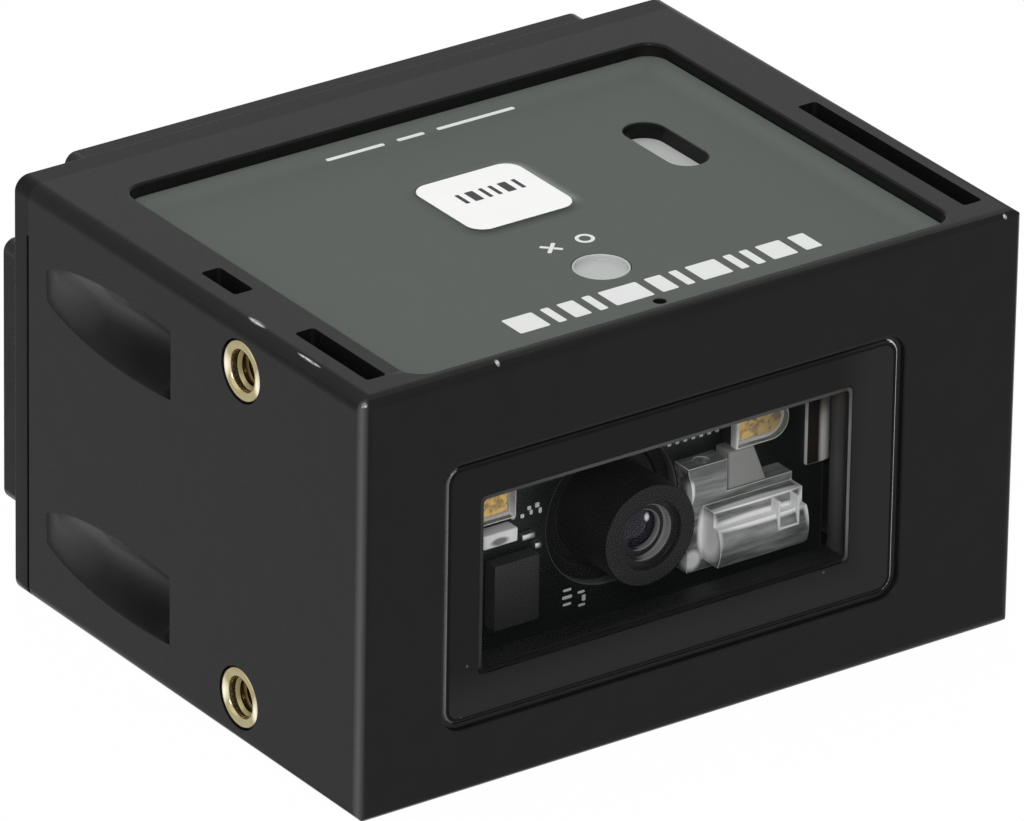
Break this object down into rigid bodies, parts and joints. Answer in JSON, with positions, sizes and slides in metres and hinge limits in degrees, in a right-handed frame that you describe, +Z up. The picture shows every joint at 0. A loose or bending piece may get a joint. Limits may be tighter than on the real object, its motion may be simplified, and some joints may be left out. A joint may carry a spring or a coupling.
{
  "type": "fixed barcode reader",
  "caption": "Small black box-shaped fixed barcode reader with a front read window, a grey-green top label with a white push key and an indicator, and threaded brass inserts in one side.",
  "frame": {"origin": "middle of the underside, at the centre of the overall box", "axes": "+Z up towards the label, -Y towards the read window, -X towards the side with the inserts"},
  "size_m": [0.049, 0.0398, 0.0284],
  "materials": {
    "housing_black": "fine moulded texture, black",
    "rubber_black": "matte black rubber",
    "screw_steel": "black zinc steel",
    "insert_brass": "turned brass",
    "window_clear": "clear plate with a black printed border",
    "label_film": "grey green film, satin",
    "key_white": "white satin plastic",
    "switch_black": "black moulded plastic",
    "lamp_frosted": "frosted translucent plastic",
    "membrane_grey": "light grey membrane",
    "board_green": "dark green solder mask",
    "connector_cream": "cream moulded plastic",
    "lens_black": "matte black barrel",
    "lens_glass": "coated lens glass",
    "sensor_dark": "dark chip package",
    "clear_plastic": "clear moulded plastic",
    "frame_gold": "gold plated lead frame",
    "chip_silver": "tinned metal",
    "flex_brown": "amber film"
  },
  "bodies": {
    "reader": {"front_housing": "housing_black", "rear_cover": "housing_black", "imager_carrier": "housing_black", "rear_seal": "rubber_black", "cable_grommet": "rubber_black", "window_adhesive": "rubber_black", "rear_cover_screws": "screw_steel", "imager_screws": "screw_steel", "threaded_inserts": "insert_brass", "window_plate": "window_clear", "top_label": "label_film", "push_switch": "switch_black", "sounder": "switch_black", "link_connector": "switch_black", "imager_connector": "switch_black", "light_bases": "switch_black", "indicator_lens": "lamp_frosted", "aimer_diode": "lamp_frosted", "indicator_diode": "lamp_frosted", "sound_membrane": "membrane_grey", "interface_board": "board_green", "decoder_board": "board_green", "imager_board": "board_green", "light_board": "board_green", "cable_connector": "connector_cream", "lens_holder": "lens_black", "lens_barrel": "lens_black", "lens_spacer": "lens_black", "lens_retainer": "lens_black", "front_lens": "lens_glass", "rear_lens": "lens_glass", "image_sensor": "sensor_dark", "processor": "sensor_dark", "memory_chip": "sensor_dark", "aimer_lens": "clear_plastic", "light_packages": "clear_plastic", "light_frames": "frame_gold", "board_coil": "chip_silver", "board_chips": "chip_silver", "flex_cable": "flex_brown"},
    "key": {"scan_key": "key_white", "switch_plunger": "switch_black"}
  },
  "joints": [
    {"name": "key_press", "type": "slide", "parent": "reader", "child": "key", "axis": [0, 0, -1], "range_m": [0, 0.00025], "stiffness_N_per_m": 4000}
  ]
}
